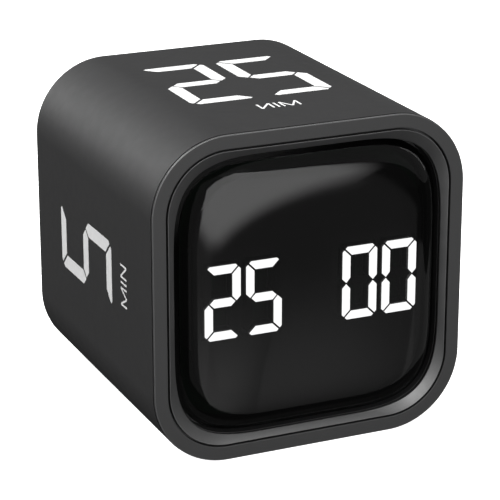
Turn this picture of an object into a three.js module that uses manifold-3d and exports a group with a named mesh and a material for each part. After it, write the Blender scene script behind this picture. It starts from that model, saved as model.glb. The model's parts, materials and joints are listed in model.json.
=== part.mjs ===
// Cube countdown timer: a rounded-square sleeve closed by a domed display in front and a cover behind.
// Millimetres, +Z up. X runs to the right and +Y runs from the display towards the back cover.
// The origin is the centre of the face that the timer rests on.
import * as THREE from "three";
import { mergeVertices } from "three/addons/utils/BufferGeometryUtils.js";
import Module from "manifold-3d";

const wasm = await Module();
wasm.setup();

// ---- Driving dimensions ----
const CUBE = 60; // outside width, height and depth
const CORNER = 14; // radius of the four long edges
const WALL = 2; // thickness of the sleeve
const GAP = 0.3; // clearance between pieces that touch
const RIM = 2.6; // width of the front frame's flat face
const RING = 1.3; // width of the sloping ring inside the rim
const RING_DROP = 0.6; // how far the ring slopes back
const DOME = 0.6; // how far the lens stands proud of the rim
const LENS_CORNER = 19; // size of the lens's soft corners
const LENS_POWER = 3.5; // squareness of the lens's soft corners
const CORNER_STEPS = 8; // facets in each rounded corner of a square turn
const DIGIT_WIDTH = 6.8;
const DIGIT_HEIGHT = 13.65;
const STROKE = 1.6; // width of one lit segment
const PAIR_GAP = 1.05; // between the two digits of a pair
const CENTRE_GAP = 11.8; // between minutes and seconds
const BOARD = 1.2; // thickness of the main board
const SCREW_HOLE = 1.1; // radius
const SCREW_SHANK = 0.8; // radius
const SCREW_HEAD = 1.9; // radius
const SMALL_HOLE = 0.8; // radius, at the display board
const SMALL_SHANK = 0.5; // radius
const PRESS = 0.5; // travel of a push button
const SLIDE = 2; // travel of the slide switch to each side of its middle position

// ---- Places worked out from them ----
const HALF = CUBE / 2;
const FRONT = -HALF;
const BACK = HALF;
const SLEEVE_INSIDE = HALF - WALL;
const FRAME_OUTSIDE = SLEEVE_INSIDE - GAP;
const RING_OUTSIDE = HALF - RIM - GAP;
const RING_INSIDE = RING_OUTSIDE - RING;
const LENS_HALF = RING_INSIDE - 0.4;
const LENS_POCKET = LENS_HALF + 0.35;
const RING_SEAT = FRONT + 1.4;
const LENS_FOOT = FRONT + 2.9;
const FLANGE_FRONT = FRONT + 4.3;
const FLANGE_BACK = FLANGE_FRONT + 1.2;
const FLANGE_INSIDE = 23.6;
const SKIRT_INSIDE = FRAME_OUTSIDE - 1.5;
const SKIRT_END = FRONT + 9;
const GUIDE_FRONT = FRONT + 0.5; // the lit faces of the digits
const WEB_FRONT = FRONT + 2.1; // the web that joins a digit's segments
const WEB_BACK = WEB_FRONT + 0.5;
const MASK_FRONT = FRONT + 1.1;
const MASK_BACK = MASK_FRONT + 0.6;
const BLOCK_FRONT = WEB_BACK + GAP;
const DISPLAY_BOARD_FRONT = FLANGE_BACK + GAP;
const DISPLAY_BOARD_BACK = DISPLAY_BOARD_FRONT + 1;
const DISPLAY_SCREW = 21.5; // the display board's screws, in X and Z
const CHASSIS_FRONT = -1.5;
const CHASSIS_BACK = 0;
const TRAY_FRONT = CHASSIS_FRONT - 8;
const BOARD_FRONT = 19.5;
const BOARD_BACK = BOARD_FRONT + BOARD;
const ON_BOARD = BOARD_BACK + GAP; // where parts on the board's rear side start
const UNDER_BOARD = BOARD_FRONT - GAP; // where parts on the board's front side end
const COVER_BACK = BACK - GAP;
const COVER_FRONT = COVER_BACK - 2.2;
const BOSS = 21.8; // the sleeve's screw bosses, in X and Z
const BOSS_RADIUS = 4.4;
const BOSS_BACK = COVER_FRONT - GAP;
const POST_X = 12; // the chassis posts that carry the main board
const POST_Z = 23.5;
const BUTTON_Z = 6;
const PORT_Z = -9;
const USB_X = -11;
const SLIDER_X = 11;
const SPEAKER_Z = 18.5;
const RIBBON_Z = -18;
const SOCKET = [18.5, 2]; // the battery socket, in X and Z
const MOTOR = [15.6, 14]; // the vibration motor's axis, in Y and Z

const QUADRANTS = [[1, 1], [1, -1], [-1, -1], [-1, 1]];

// ---- Materials ----
const finish = (color, roughness, metalness = 0, more = {}) =>
  new THREE.MeshStandardMaterial({ color, roughness, metalness, ...more });
const shellPlastic = finish(0x3c3c3e, 0.55);
const buttonPlastic = finish(0x2c2c2e, 0.5);
const blackPlastic = finish(0x101011, 0.5);
const lensPlastic = finish(0x0a0a0b, 0.06, 0, { transparent: true, opacity: 0.85 });
const lightPlastic = finish(0xffffff, 0.4, 0, { emissive: 0xffffff });
const greyPlastic = finish(0x8b8d90, 0.6);
const rubber = finish(0x151515, 0.85);
const foam = finish(0x55565a, 0.95);
const boardGreen = finish(0x1c4a2c, 0.5);
const steel = finish(0xb8babd, 0.3, 1);
const foil = finish(0xc4c6c8, 0.35, 1);
const brass = finish(0xc9a24a, 0.35, 1);
const ribbonFilm = finish(0xe6e3da, 0.5);
const redJacket = finish(0xa81c1c, 0.5);
const blackJacket = finish(0x141414, 0.5);

// ---- Shape helpers ----

// A closed mesh as a solid that can be joined and cut.
function solidOf(geometry) {
  const bare = geometry.clone();
  bare.deleteAttribute("normal");
  bare.deleteAttribute("uv");
  const merged = mergeVertices(bare, 1e-4);
  return new wasm.Manifold(new wasm.Mesh({
    numProp: 3,
    vertProperties: merged.attributes.position.array,
    triVerts: new Uint32Array(merged.index.array),
  }));
}

function geometryOf(solid) {
  const mesh = solid.getMesh();
  const geometry = new THREE.BufferGeometry();
  geometry.setAttribute("position", new THREE.BufferAttribute(mesh.vertProperties, 3));
  geometry.setIndex(new THREE.BufferAttribute(mesh.triVerts, 1));
  geometry.computeVertexNormals();
  return geometry;
}

const join = (first, ...others) =>
  geometryOf(others.reduce((whole, next) => whole.add(solidOf(next)), solidOf(first)));

const carve = (first, ...tools) =>
  geometryOf(tools.reduce((rest, tool) => rest.subtract(solidOf(tool)), solidOf(first)));

// One turn of a square profile: half widths, corner size, and depth along Y.
const rectRing = (halfX, halfZ, radius, y, power = 2) => ({ halfX, halfZ, radius, y, power });
const ring = (half, y, radius = CORNER - HALF + half) => rectRing(half, half, radius, y);
const softRing = (half, y) =>
  rectRing(half, half, LENS_CORNER * half / LENS_HALF, y, LENS_POWER);
const point = (y) => rectRing(0, 0, 0, y);

// A lathe around Y whose turns follow rounded rectangles instead of circles.
function squareLathe(rings, steps = CORNER_STEPS) {
  const turns = 4 * (steps + 1);
  const geometry = new THREE.LatheGeometry(rings.map(({ y }) => new THREE.Vector2(1, y)), turns);
  const soften = (value, power) => Math.sign(value) * Math.abs(value) ** (2 / power);
  for (let turn = 0; turn <= turns; turn++) {
    const quadrant = Math.floor(turn / (steps + 1)) % 4;
    const angle = (quadrant + (turn % (steps + 1)) / steps) * Math.PI / 2;
    const [sideX, sideZ] = QUADRANTS[quadrant];
    rings.forEach(({ halfX, halfZ, radius, y, power }, j) => {
      const x = sideX * (halfX - radius) + radius * soften(Math.sin(angle), power);
      const z = sideZ * (halfZ - radius) + radius * soften(Math.cos(angle), power);
      geometry.attributes.position.setXYZ(turn * rings.length + j, x, y, z);
    });
  }
  return geometry;
}

// A lathe around Y through [radius, y] points.
const turned = (points, sides = 16) =>
  new THREE.LatheGeometry(points.map(([r, y]) => new THREE.Vector2(r, y)), sides);

// A box between two opposite corners.
function block([x0, x1], [y0, y1], [z0, z1]) {
  const box = new THREE.BoxGeometry(x1 - x0, y1 - y0, z1 - z0);
  return box.translate((x0 + x1) / 2, (y0 + y1) / 2, (z0 + z1) / 2);
}

// A rod along Y.
function rod(radius, y0, y1, x = 0, z = 0, sides = 12) {
  const cylinder = new THREE.CylinderGeometry(radius, radius, y1 - y0, sides);
  return cylinder.translate(x, (y0 + y1) / 2, z);
}

// A rod along X, at a depth and height.
function crossRod(radius, x0, x1, y, z, sides = 16) {
  const cylinder = new THREE.CylinderGeometry(radius, radius, x1 - x0, sides);
  return cylinder.rotateZ(-Math.PI / 2).translate((x0 + x1) / 2, y, z);
}

// An outline in X and Z made as thick as the space between two depths.
function slab(shape, y0, y1, curveSegments = 3) {
  const plate = new THREE.ExtrudeGeometry(shape, { depth: y1 - y0, bevelEnabled: false, curveSegments });
  return plate.rotateX(Math.PI / 2).translate(0, y1, 0);
}

function roundedRect(halfX, halfZ, radius, x = 0, z = 0) {
  const shape = new THREE.Shape();
  shape.absarc(x + halfX - radius, z + halfZ - radius, radius, 0, Math.PI / 2);
  shape.absarc(x - halfX + radius, z + halfZ - radius, radius, Math.PI / 2, Math.PI);
  shape.absarc(x - halfX + radius, z - halfZ + radius, radius, Math.PI, 1.5 * Math.PI);
  shape.absarc(x + halfX - radius, z - halfZ + radius, radius, 1.5 * Math.PI, 2 * Math.PI);
  shape.closePath();
  return shape;
}

function squarePlate(half, y0, y1) {
  const radius = CORNER - HALF + half;
  return slab(roundedRect(half, half, radius), y0, y1);
}

const corners = (x, z) => QUADRANTS.map(([sideX, sideZ]) => [sideX * x, sideZ * z]);
const diagonal = (x, z) => [[x, z], [-x, -z]];

// A screw along Y whose head, with a cross recess, starts at y = 0 and faces +Y.
function screwShape(headRadius, headHeight, shankRadius, length) {
  const chamfer = 0.25;
  const recess = headHeight * 0.55;
  const blade = headRadius * 0.62;
  const slot = headRadius * 0.12;
  const body = turned([
    [0, -length], [shankRadius * 0.6, -length], [shankRadius, -length + shankRadius], [shankRadius, 0],
    [headRadius, 0], [headRadius, headHeight - chamfer], [headRadius - chamfer, headHeight],
    [0, headHeight],
  ], 12);
  const depth = [headHeight - recess, headHeight + 1];
  return carve(
    body,
    block([-blade, blade], depth, [-slot, slot]),
    block([-slot, slot], depth, [-blade, blade]),
  );
}

// ---- The assembly ----
const timer = new THREE.Group();
const cube = new THREE.Group(); // its origin is the centre of the cube
cube.position.z = HALF;
timer.add(cube);

function add(name, geometry, material, x = 0, y = 0, z = 0) {
  const mesh = new THREE.Mesh(geometry, material);
  mesh.name = name;
  mesh.position.set(x, y, z);
  cube.add(mesh);
  return mesh;
}

// The sleeve's front end is mitred, so that the frame's edge meets it in a fine seam.
function housingSleeve() {
  const seam = FRONT + 0.6;
  const edge = 0.4;
  const tube = squareLathe([
    ring(HALF, seam), ring(HALF, BACK - edge), ring(HALF - edge, BACK),
    ring(SLEEVE_INSIDE, BACK), ring(SLEEVE_INSIDE, seam + WALL), ring(HALF, seam),
  ]);
  const bossFront = CHASSIS_BACK + GAP;
  const screwDepth = 8;
  const bosses = corners(BOSS, BOSS).map(([x, z]) => rod(BOSS_RADIUS, bossFront, BOSS_BACK, x, z, 16));
  const rear = corners(BOSS, BOSS).map(([x, z]) =>
    rod(SCREW_HOLE, BOSS_BACK - screwDepth, BOSS_BACK + 1, x, z, 8));
  const front = diagonal(BOSS, BOSS).map(([x, z]) =>
    rod(SCREW_HOLE, bossFront - 1, bossFront + screwDepth, x, z, 8));
  // A boss reaches into the rounded wall, so the part of it outside the sleeve is cut away.
  const far = HALF + 6;
  const buried = HALF - WALL / 4;
  const [first, last] = [bossFront - 2, BACK + 1];
  const around = squareLathe([
    ring(far, first), ring(far, last), ring(buried, last), ring(buried, first), ring(far, first),
  ]);
  const trimmed = bosses.map((boss) => carve(boss, around));
  add("housing_sleeve", carve(join(tube, ...trimmed), ...rear, ...front), shellPlastic);
}

function frontFrame() {
  const edge = 0.2; // chamfer round the front
  const mitre = FRONT + edge;
  const rimInside = HALF - RIM;
  const flangeCorner = 13;
  const frame = squareLathe([
    ring(HALF - edge, FRONT), ring(HALF, mitre), ring(FRAME_OUTSIDE, mitre + HALF - FRAME_OUTSIDE),
    ring(FRAME_OUTSIDE, SKIRT_END), ring(SKIRT_INSIDE, SKIRT_END), ring(SKIRT_INSIDE, FLANGE_BACK),
    ring(FLANGE_INSIDE, FLANGE_BACK, flangeCorner), ring(FLANGE_INSIDE, FLANGE_FRONT, flangeCorner),
    softRing(LENS_POCKET, FLANGE_FRONT), softRing(LENS_POCKET, RING_SEAT),
    ring(rimInside, RING_SEAT), ring(rimInside, FRONT), ring(HALF - edge, FRONT),
  ]);
  const holes = corners(DISPLAY_SCREW, DISPLAY_SCREW).map(([x, z]) =>
    rod(SMALL_HOLE, FLANGE_FRONT - 0.1, FLANGE_BACK + 0.1, x, z, 8));
  add("front_frame", carve(frame, ...holes), shellPlastic);
}

function innerBezelRing() {
  const top = FRONT + 0.05;
  const inner = FRONT + RING_DROP;
  const bottom = RING_SEAT - GAP;
  add("inner_bezel_ring", squareLathe([
    ring(RING_OUTSIDE, top), ring(RING_OUTSIDE, bottom),
    softRing(RING_INSIDE, bottom), softRing(RING_INSIDE, inner), ring(RING_OUTSIDE, top),
  ]), shellPlastic);
}

// The lens is a thin shell: nearly flat in the middle, rolling back all round its edge.
// Its profiles are pairs of half width and depth behind the crown.
function displayLens() {
  const crown = FRONT - DOME;
  const roll = [[9, 0.03], [18, 0.17], [21.6, 0.48], [23.8, 1.0], [24.9, 1.75], [LENS_HALF, 2.8]];
  const thick = 0.8;
  const inside = [[23.9, 3.5], [23.4, 2.0], [21.5, 1.1], [18, thick]];
  const turns = (profile) => profile.map(([half, drop]) => softRing(half, crown + drop));
  add("display_lens", squareLathe([
    point(crown), ...turns(roll), softRing(LENS_HALF, LENS_FOOT),
    ...turns(inside), point(crown + thick),
  ]), lensPlastic);
}

function lensGasket() {
  const front = LENS_FOOT + GAP;
  const back = FLANGE_FRONT - GAP;
  const inside = LENS_HALF - 1.5;
  add("lens_gasket", squareLathe([
    softRing(LENS_HALF, front), softRing(LENS_HALF, back), softRing(inside, back),
    softRing(inside, front), softRing(LENS_HALF, front),
  ]), rubber);
}

// ---- The display ----
const pairStart = CENTRE_GAP / 2;
const pitch = DIGIT_WIDTH + PAIR_GAP;
const DIGITS = {
  digit_minutes_tens: -pairStart - pitch - DIGIT_WIDTH / 2,
  digit_minutes_ones: -pairStart - DIGIT_WIDTH / 2,
  digit_seconds_tens: pairStart + DIGIT_WIDTH / 2,
  digit_seconds_ones: pairStart + pitch + DIGIT_WIDTH / 2,
};

// The outlines of the seven segments of a digit centred on the origin, in X and Z.
function segmentOutlines() {
  const right = DIGIT_WIDTH / 2;
  const top = DIGIT_HEIGHT / 2;
  const cut = 0.95; // the chamfer on the digit's outer corners
  const joint = 0.25 / Math.SQRT2; // how far each bar is pulled back, for gaps 0.25 wide
  const inX = right - STROKE;
  const inZ = top - STROKE;
  const tip = right - STROKE / 2;
  const bar = [[right - cut / 2 - joint, top - cut / 2 + joint], [right - cut, top]];
  const topBar = [
    ...bar, [cut - right, top], [joint + cut / 2 - right, top - cut / 2 + joint],
    [joint - inX, inZ], [inX - joint, inZ],
  ];
  const side = [
    [right - cut / 2 + joint, top - cut / 2 - joint], [right, top - cut],
    [right, STROKE / 2 + joint], [tip, joint], [inX, STROKE / 2 + joint], [inX, inZ - joint],
  ];
  const middle = [
    [joint - tip, 0], [joint - inX, STROKE / 2], [inX - joint, STROKE / 2],
    [tip - joint, 0], [inX - joint, -STROKE / 2], [joint - inX, -STROKE / 2],
  ];
  const turn = (points, signX, signZ) => points.map(([x, z]) => [signX * x, signZ * z]);
  return [
    topBar, turn(topBar, 1, -1), middle,
    side, turn(side, 1, -1), turn(side, -1, 1), turn(side, -1, -1),
  ];
}

const outlineShape = (points) => new THREE.Shape(points.map(([x, z]) => new THREE.Vector2(x, z)));

// Each digit is one moulding: a thin web that carries seven raised segments.
function digitGuides() {
  const web = roundedRect(DIGIT_WIDTH / 2, DIGIT_HEIGHT / 2, 0.4);
  const overlap = 0.1;
  const raised = segmentOutlines().map((outline) =>
    slab(outlineShape(outline), GUIDE_FRONT, WEB_FRONT + overlap));
  const moulding = join(slab(web, WEB_FRONT, WEB_BACK, 1), ...raised);
  for (const [name, x] of Object.entries(DIGITS)) add(name, moulding, lightPlastic, x);
}

const digitWindows = (margin) => Object.values(DIGITS).map((x) =>
  roundedRect(DIGIT_WIDTH / 2 + margin, DIGIT_HEIGHT / 2 + margin, 0.2, x));

function segmentMask() {
  const half = 22.2;
  const plate = roundedRect(half, half, 12);
  plate.holes.push(...digitWindows(GAP));
  add("segment_mask", slab(plate, MASK_FRONT, MASK_BACK, 6), blackPlastic);
}

// The reflector behind the guides: one well for each digit and a border that carries the mask.
function digitBlock() {
  const halfX = 22.4;
  const halfZ = 9;
  const border = 1;
  const base = roundedRect(halfX, halfZ, 0.5);
  base.holes.push(...digitWindows(-GAP));
  const edge = roundedRect(halfX, halfZ, 0.5);
  edge.holes.push(roundedRect(halfX - border, halfZ - border, 0.5));
  const body = slab(base, BLOCK_FRONT, FLANGE_BACK, 1);
  const raised = slab(edge, MASK_BACK + GAP, BLOCK_FRONT + 0.1, 1);
  add("digit_block", join(body, raised), greyPlastic);
}

function displayBoard() {
  const half = SKIRT_INSIDE - 0.6;
  const plate = squarePlate(half, DISPLAY_BOARD_FRONT, DISPLAY_BOARD_BACK);
  const places = corners(DISPLAY_SCREW, DISPLAY_SCREW);
  const holes = places.map(([x, z]) => rod(SMALL_HOLE, FLANGE_BACK, SKIRT_END, x, z, 8));
  add("display_board", carve(plate, ...holes), boardGreen);
  const screw = screwShape(1.25, 0.8, SMALL_SHANK, 2.5);
  places.forEach(([x, z], i) =>
    add(`display_screw_${i + 1}`, screw, steel, x, DISPLAY_BOARD_BACK + GAP, z));
}

// ---- Inside the sleeve ----
const CELL = { halfX: 17, halfZ: 12.5, thick: 6 };

// A plate across the sleeve, with a battery tray in front and four posts for the main board behind.
function innerChassis() {
  const plate = squarePlate(SLEEVE_INSIDE - 0.4, CHASSIS_FRONT, CHASSIS_BACK);
  const room = 0.8;
  const wall = 1.2;
  const tray = roundedRect(CELL.halfX + room + wall, CELL.halfZ + room + wall, 2);
  tray.holes.push(roundedRect(CELL.halfX + room, CELL.halfZ + room, 1));
  const walls = slab(tray, TRAY_FRONT, CHASSIS_FRONT + 0.1, 2);
  const postRadius = 2.2;
  const screwDepth = 8;
  const posts = corners(POST_X, POST_Z).map(([x, z]) =>
    rod(postRadius, CHASSIS_BACK - 0.1, UNDER_BOARD, x, z));
  const holes = corners(POST_X, POST_Z).map(([x, z]) =>
    rod(SCREW_HOLE, UNDER_BOARD - screwDepth, UNDER_BOARD + 1, x, z, 8));
  const through = [CHASSIS_FRONT - 1, CHASSIS_BACK + 1];
  const fixings = diagonal(BOSS, BOSS).map(([x, z]) =>
    rod(SCREW_HOLE, ...through, x, z, 8));
  const ribbonSlot = block([-5, 5], through, [RIBBON_Z - 2, RIBBON_Z + 2]);
  const leadNotch = block([CELL.halfX + 0.2, 23.4], [TRAY_FRONT + 1.6, CHASSIS_BACK + 1], [-1.5, 5.5]);
  const body = join(plate, walls, ...posts);
  add("inner_chassis", carve(body, ...holes, ...fixings, ribbonSlot, leadNotch), blackPlastic);
  const screw = screwShape(SCREW_HEAD, 1.1, SCREW_SHANK, 7.5);
  diagonal(BOSS, BOSS).forEach(([x, z], i) => {
    add(`chassis_screw_${i + 1}`, screw, steel, x, CHASSIS_FRONT - GAP, z).rotation.z = Math.PI;
  });
}

function battery() {
  const pad = { halfX: 15, halfZ: 10, thick: 0.8 };
  const padBack = CHASSIS_FRONT - GAP;
  const padFront = padBack - pad.thick;
  const cellBack = padFront - GAP;
  const cellFront = cellBack - CELL.thick;
  const fold = 1.2;
  const face = (y) => rectRing(CELL.halfX - fold, CELL.halfZ - fold, 1, y);
  const belly = (y) => rectRing(CELL.halfX, CELL.halfZ, 2, y);
  add("battery_pad", block([-pad.halfX, pad.halfX], [padFront, padBack], [-pad.halfZ, pad.halfZ]), foam);
  add("battery_cell", squareLathe([
    point(cellFront), face(cellFront), belly(cellFront + fold), belly(cellBack - fold),
    face(cellBack), point(cellBack),
  ], 2), foil);
  batteryLeads((cellFront + cellBack) / 2);
}

// The socket stands under the main board, and the plug hangs from it with its two leads.
function batteryLeads(tabY) {
  const [x, z] = SOCKET;
  const socketFront = UNDER_BOARD - 2.2;
  const plugBack = socketFront - GAP;
  const plugFront = plugBack - 3.2;
  const spread = 1.1;
  const wire = new THREE.Shape().absarc(0, 0, 0.6, 0, 2 * Math.PI);
  add("battery_socket", block([x - 3, x + 3], [socketFront, UNDER_BOARD], [z - 2.2, z + 2.2]), ribbonFilm);
  add("battery_plug", block([x - 2.6, x + 2.6], [plugFront, plugBack], [z - 1.9, z + 1.9]), ribbonFilm);
  const leads = { battery_lead_red: [spread, redJacket], battery_lead_black: [-spread, blackJacket] };
  for (const [name, [offset, jacket]] of Object.entries(leads)) {
    const route = new THREE.CatmullRomCurve3([
      new THREE.Vector3(CELL.halfX + GAP, tabY, z + offset),
      new THREE.Vector3(CELL.halfX + 2.6, tabY + 0.3, z + offset),
      new THREE.Vector3(CELL.halfX + 4.4, tabY + 3.5, z + offset),
      new THREE.Vector3(CELL.halfX + 3.4, tabY + 12, z + offset),
      new THREE.Vector3(x, plugFront - GAP - 2, z + offset),
      new THREE.Vector3(x, plugFront - GAP, z + offset),
    ]);
    const lead = new THREE.ExtrudeGeometry(wire, { steps: 14, curveSegments: 4, extrudePath: route });
    add(name, lead, jacket);
  }
}

// A flat cable with one slack wave in it, ending in a slotted socket on each board.
function ribbon() {
  const front = DISPLAY_BOARD_BACK + GAP;
  const tall = 2;
  const seat = 0.9;
  const start = front + seat + GAP;
  const end = UNDER_BOARD - seat - GAP;
  const halfWidth = 4;
  const thick = 0.3;
  const wave = 1.2;
  const straight = 3;
  const steps = 16;
  const middle = (y) => {
    const along = (y - start - straight) / (end - start - 2 * straight);
    return RIBBON_Z + wave * Math.sin(2 * Math.PI * THREE.MathUtils.clamp(along, 0, 1));
  };
  const line = Array.from({ length: steps + 1 }, (_, i) => start + (end - start) * i / steps);
  const outline = [
    ...line.map((y) => new THREE.Vector2(y, middle(y) - thick / 2)),
    ...line.reverse().map((y) => new THREE.Vector2(y, middle(y) + thick / 2)),
  ];
  const strip = new THREE.ExtrudeGeometry(
    new THREE.Shape(outline), { depth: 2 * halfWidth, bevelEnabled: false });
  // The outline is drawn in Y and Z and pulled along X.
  const turn = new THREE.Matrix4().makeBasis(
    new THREE.Vector3(0, 1, 0), new THREE.Vector3(0, 0, 1), new THREE.Vector3(1, 0, 0));
  add("ribbon_cable", strip.applyMatrix4(turn).translate(-halfWidth, 0, 0), ribbonFilm);

  const slotZ = [RIBBON_Z - 0.45, RIBBON_Z + 0.45];
  const slotX = [-halfWidth - GAP, halfWidth + GAP];
  const bodyZ = [RIBBON_Z - 1.5, RIBBON_Z + 1.5];
  add("ribbon_socket_front", carve(
    block([-5.5, 5.5], [front, front + tall], bodyZ), block(slotX, [front + seat, front + tall + 1], slotZ),
  ), blackPlastic);
  add("ribbon_socket_rear", carve(
    block([-5.5, 5.5], [UNDER_BOARD - tall, UNDER_BOARD], bodyZ),
    block(slotX, [UNDER_BOARD - tall - 1, UNDER_BOARD - seat], slotZ),
  ), blackPlastic);
}

function mainBoard() {
  const notch = BOSS_RADIUS + 0.4;
  const through = [BOARD_FRONT - 1, BOARD_BACK + 1];
  const notches = corners(BOSS, BOSS).map(([x, z]) => rod(notch, ...through, x, z, 16));
  const places = diagonal(POST_X, POST_Z);
  const holes = places.map(([x, z]) => rod(SCREW_HOLE, ...through, x, z, 8));
  const plate = squarePlate(SLEEVE_INSIDE - 0.8, BOARD_FRONT, BOARD_BACK);
  add("main_board", carve(plate, ...notches, ...holes), boardGreen);
  const screw = screwShape(SCREW_HEAD, 1.1, SCREW_SHANK, 7);
  places.forEach(([x, z], i) => add(`board_screw_${i + 1}`, screw, steel, x, ON_BOARD, z));
}

// Packages on the front side of the main board, with their centres in X and Z.
function chips() {
  const packages = [
    { name: "microcontroller", x: -10, z: -2, halfX: 3.5, halfZ: 3.5, thick: 1.2 },
    { name: "accelerometer", x: 0, z: 0, halfX: 1.5, halfZ: 1.5, thick: 0.9 },
    { name: "charger_chip", x: 12, z: -11, halfX: 2.5, halfZ: 2, thick: 1.4 },
  ];
  const draft = 0.25;
  const corner = 0.1;
  for (const { name, x, z, halfX, halfZ, thick } of packages) {
    const front = UNDER_BOARD - thick;
    add(name, squareLathe([
      point(front), rectRing(halfX - draft, halfZ - draft, corner, front),
      rectRing(halfX, halfZ, corner, front + thick / 2), rectRing(halfX, halfZ, corner, UNDER_BOARD),
      point(UNDER_BOARD),
    ], 1), blackPlastic, x, 0, z);
  }
}

// A rotor with an off-centre weight, which hangs with its heavy side down.
function vibrationMotor() {
  const [y, z] = MOTOR;
  const [canStart, canEnd] = [-8, 2];
  const canRadius = 2.2;
  const bore = 0.7;
  const weight = [canEnd + 0.6, canEnd + 3.2];
  const past = canEnd + 4;
  const flat = z + canRadius / 2; // the weight is cut off above this height
  const can = crossRod(canRadius, canStart, canEnd, y, z);
  add("vibration_motor_can", carve(can, crossRod(bore, 0, past, y, z, 8)), steel);
  add("vibration_motor_shaft", crossRod(0.4, GAP, weight[1] + 0.2, y, z, 8), steel);
  const disc = crossRod(canRadius, ...weight, y, z);
  const above = block([canEnd, past], [y - 3, y + 3], [flat, flat + canRadius]);
  add("vibration_motor_weight", carve(disc, above, crossRod(bore, canEnd, past, y, z, 8)), brass);
  const saddle = block([canStart + 1, canEnd - 1], [y + 1, UNDER_BOARD], [z - 3.2, z + 3.2]);
  const groove = crossRod(canRadius + GAP, canStart, canEnd, y, z);
  add("vibration_motor_bracket", carve(saddle, groove), blackPlastic);
}

// ---- Controls and port on the rear side of the main board ----
const BUTTONS = { minutes: 13, seconds: 0, start: -13 }; // their places in X
const CAP_RADIUS = 4;

function pushButtons() {
  const bodyTop = ON_BOARD + 3.5;
  const plungerTop = bodyTop + 0.7;
  const pocketFloor = bodyTop - 1.5;
  const plungerEnd = pocketFloor + PRESS + GAP;
  const plungerRadius = 1.7;
  const capFoot = plungerTop + GAP;
  const flangeBack = COVER_FRONT - GAP;
  const flangeRadius = CAP_RADIUS + 0.9;
  const capTop = BACK + 0.7;
  const housing = carve(
    block([-3, 3], [ON_BOARD, bodyTop], [-3, 3]),
    rod(plungerRadius + GAP, pocketFloor, bodyTop + 1, 0, 0, 16),
  );
  const cap = turned([
    [0, capFoot], [2, capFoot], [2, flangeBack - 1], [flangeRadius, flangeBack - 1],
    [flangeRadius, flangeBack], [CAP_RADIUS, flangeBack], [CAP_RADIUS, capTop - 0.5],
    [CAP_RADIUS - 0.5, capTop], [0, capTop - 0.15],
  ]);
  for (const [name, x] of Object.entries(BUTTONS)) {
    add(`tact_switch_${name}`, housing, steel, x, 0, BUTTON_Z);
    add(`tact_plunger_${name}`, rod(plungerRadius, plungerEnd, plungerTop), blackPlastic, x, 0, BUTTON_Z);
    add(`button_${name}`, cap, buttonPlastic, x, 0, BUTTON_Z);
  }
}

const KNOB = { halfX: 1.7, halfZ: 1.5 };
const SLOT = { halfX: KNOB.halfX + SLIDE + GAP, halfZ: KNOB.halfZ + GAP };

function slideSwitch() {
  const bodyTop = ON_BOARD + 3.4;
  const lever = 0.6;
  const leverEnd = bodyTop - 1.2;
  const leverTop = COVER_FRONT + 0.1;
  const flangeBack = COVER_FRONT - GAP;
  const flangeFront = flangeBack - 0.9;
  const knobTop = BACK + 0.4;
  const room = lever + SLIDE + GAP;
  const pocket = lever + GAP;
  const body = carve(
    block([-4.5, 4.5], [ON_BOARD, bodyTop], [-1.9, 1.9]),
    block([-room, room], [leverEnd - GAP, bodyTop + 1], [-pocket, pocket]),
  );
  add("slide_switch_body", body, steel, SLIDER_X, 0, PORT_Z);
  const nib = block([-lever, lever], [leverEnd, leverTop], [-lever, lever]);
  add("slide_switch_lever", nib, blackPlastic, SLIDER_X, 0, PORT_Z);
  const cover = SLOT.halfX + SLIDE + GAP;
  const flange = block([-cover, cover], [flangeFront, flangeBack], [-2.6, 2.6]);
  const grip = block([-KNOB.halfX, KNOB.halfX], [flangeBack - 0.1, knobTop], [-KNOB.halfZ, KNOB.halfZ]);
  const grooves = [-0.9, 0, 0.9].map((x) =>
    block([x - 0.2, x + 0.2], [knobTop - 0.35, knobTop + 1], [-KNOB.halfZ - 1, KNOB.halfZ + 1]));
  const socket = block([-pocket, pocket], [flangeFront - 1, leverTop + GAP], [-pocket, pocket]);
  add("slider_knob", carve(join(flange, grip), ...grooves, socket), buttonPlastic, SLIDER_X, 0, PORT_Z);
}

const PORT = { halfX: 4.47, halfZ: 1.63, radius: 1.5 };

// An upright USB-C receptacle: a drawn cup with a tongue standing in it.
function usbPort() {
  const mouth = COVER_BACK - 0.2;
  const metal = 0.3;
  const floor = ON_BOARD + 1;
  const outer = (y) => rectRing(PORT.halfX, PORT.halfZ, PORT.radius, y);
  const inner = (y) => rectRing(PORT.halfX - metal, PORT.halfZ - metal, PORT.radius - metal, y);
  add("usb_c_shell", squareLathe([
    point(ON_BOARD), outer(ON_BOARD), outer(mouth), inner(mouth), inner(floor), point(floor),
  ], 4), steel, USB_X, 0, PORT_Z);
  const tongue = block([-3.35, 3.35], [floor + GAP, mouth - 1], [-0.35, 0.35]);
  add("usb_c_tongue", tongue, blackPlastic, USB_X, 0, PORT_Z);
}

function buzzer() {
  const radius = 6;
  const wall = 0.8;
  const top = ON_BOARD + 5;
  const throat = 1;
  const ledge = ON_BOARD + 2;
  add("buzzer_case", turned([
    [0, ON_BOARD], [radius, ON_BOARD], [radius, top], [throat, top], [throat, top - wall],
    [radius - wall, top - wall], [radius - wall, ON_BOARD + wall], [0, ON_BOARD + wall],
  ], 20), blackPlastic, 0, 0, SPEAKER_Z);
  add("buzzer_diaphragm", rod(radius - wall - GAP, ledge, ledge + 0.3, 0, 0, 20), brass, 0, 0, SPEAKER_Z);
}

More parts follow.
